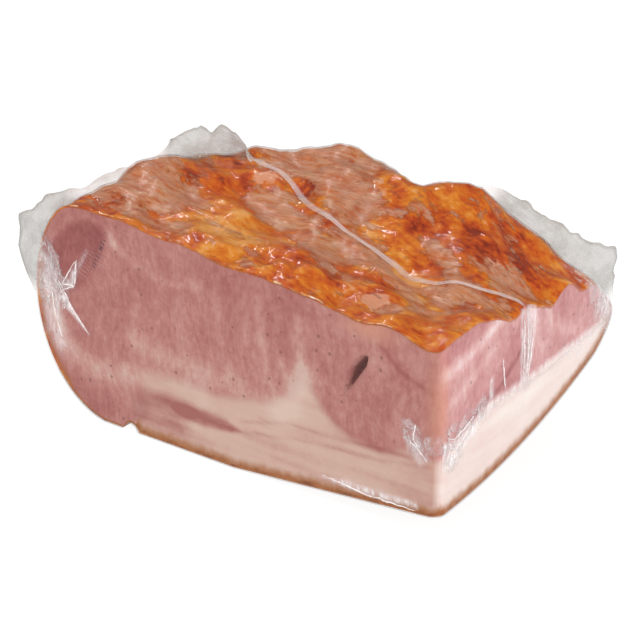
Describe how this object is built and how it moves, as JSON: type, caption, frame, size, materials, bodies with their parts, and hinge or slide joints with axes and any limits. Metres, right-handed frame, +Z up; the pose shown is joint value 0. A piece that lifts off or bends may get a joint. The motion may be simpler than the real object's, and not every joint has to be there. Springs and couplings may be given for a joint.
{
  "type": "smoked shoulder ham block",
  "caption": "Block of smoked shoulder ham with two flat cuts, a fat and rind underside and a rounded smoked outside, sealed in clear shrink film.",
  "frame": {"origin": "centre of the bounding box, at the table that the ham lies on", "axes": "+X along the long cut towards the upright corner, which is the way the short cut faces; -Y is the way the long cut faces; +Z up"},
  "size_m": [0.244, 0.1494, 0.126],
  "materials": {
    "meat": "moist cured meat under film, smoked brown on top",
    "fat": "cream fat with a thin brown rind",
    "film": "clear shrink film, crinkled"
  },
  "bodies": {
    "root": {"meat": "meat", "fat_cap": "fat", "film": "film"}
  },
  "joints": []
}
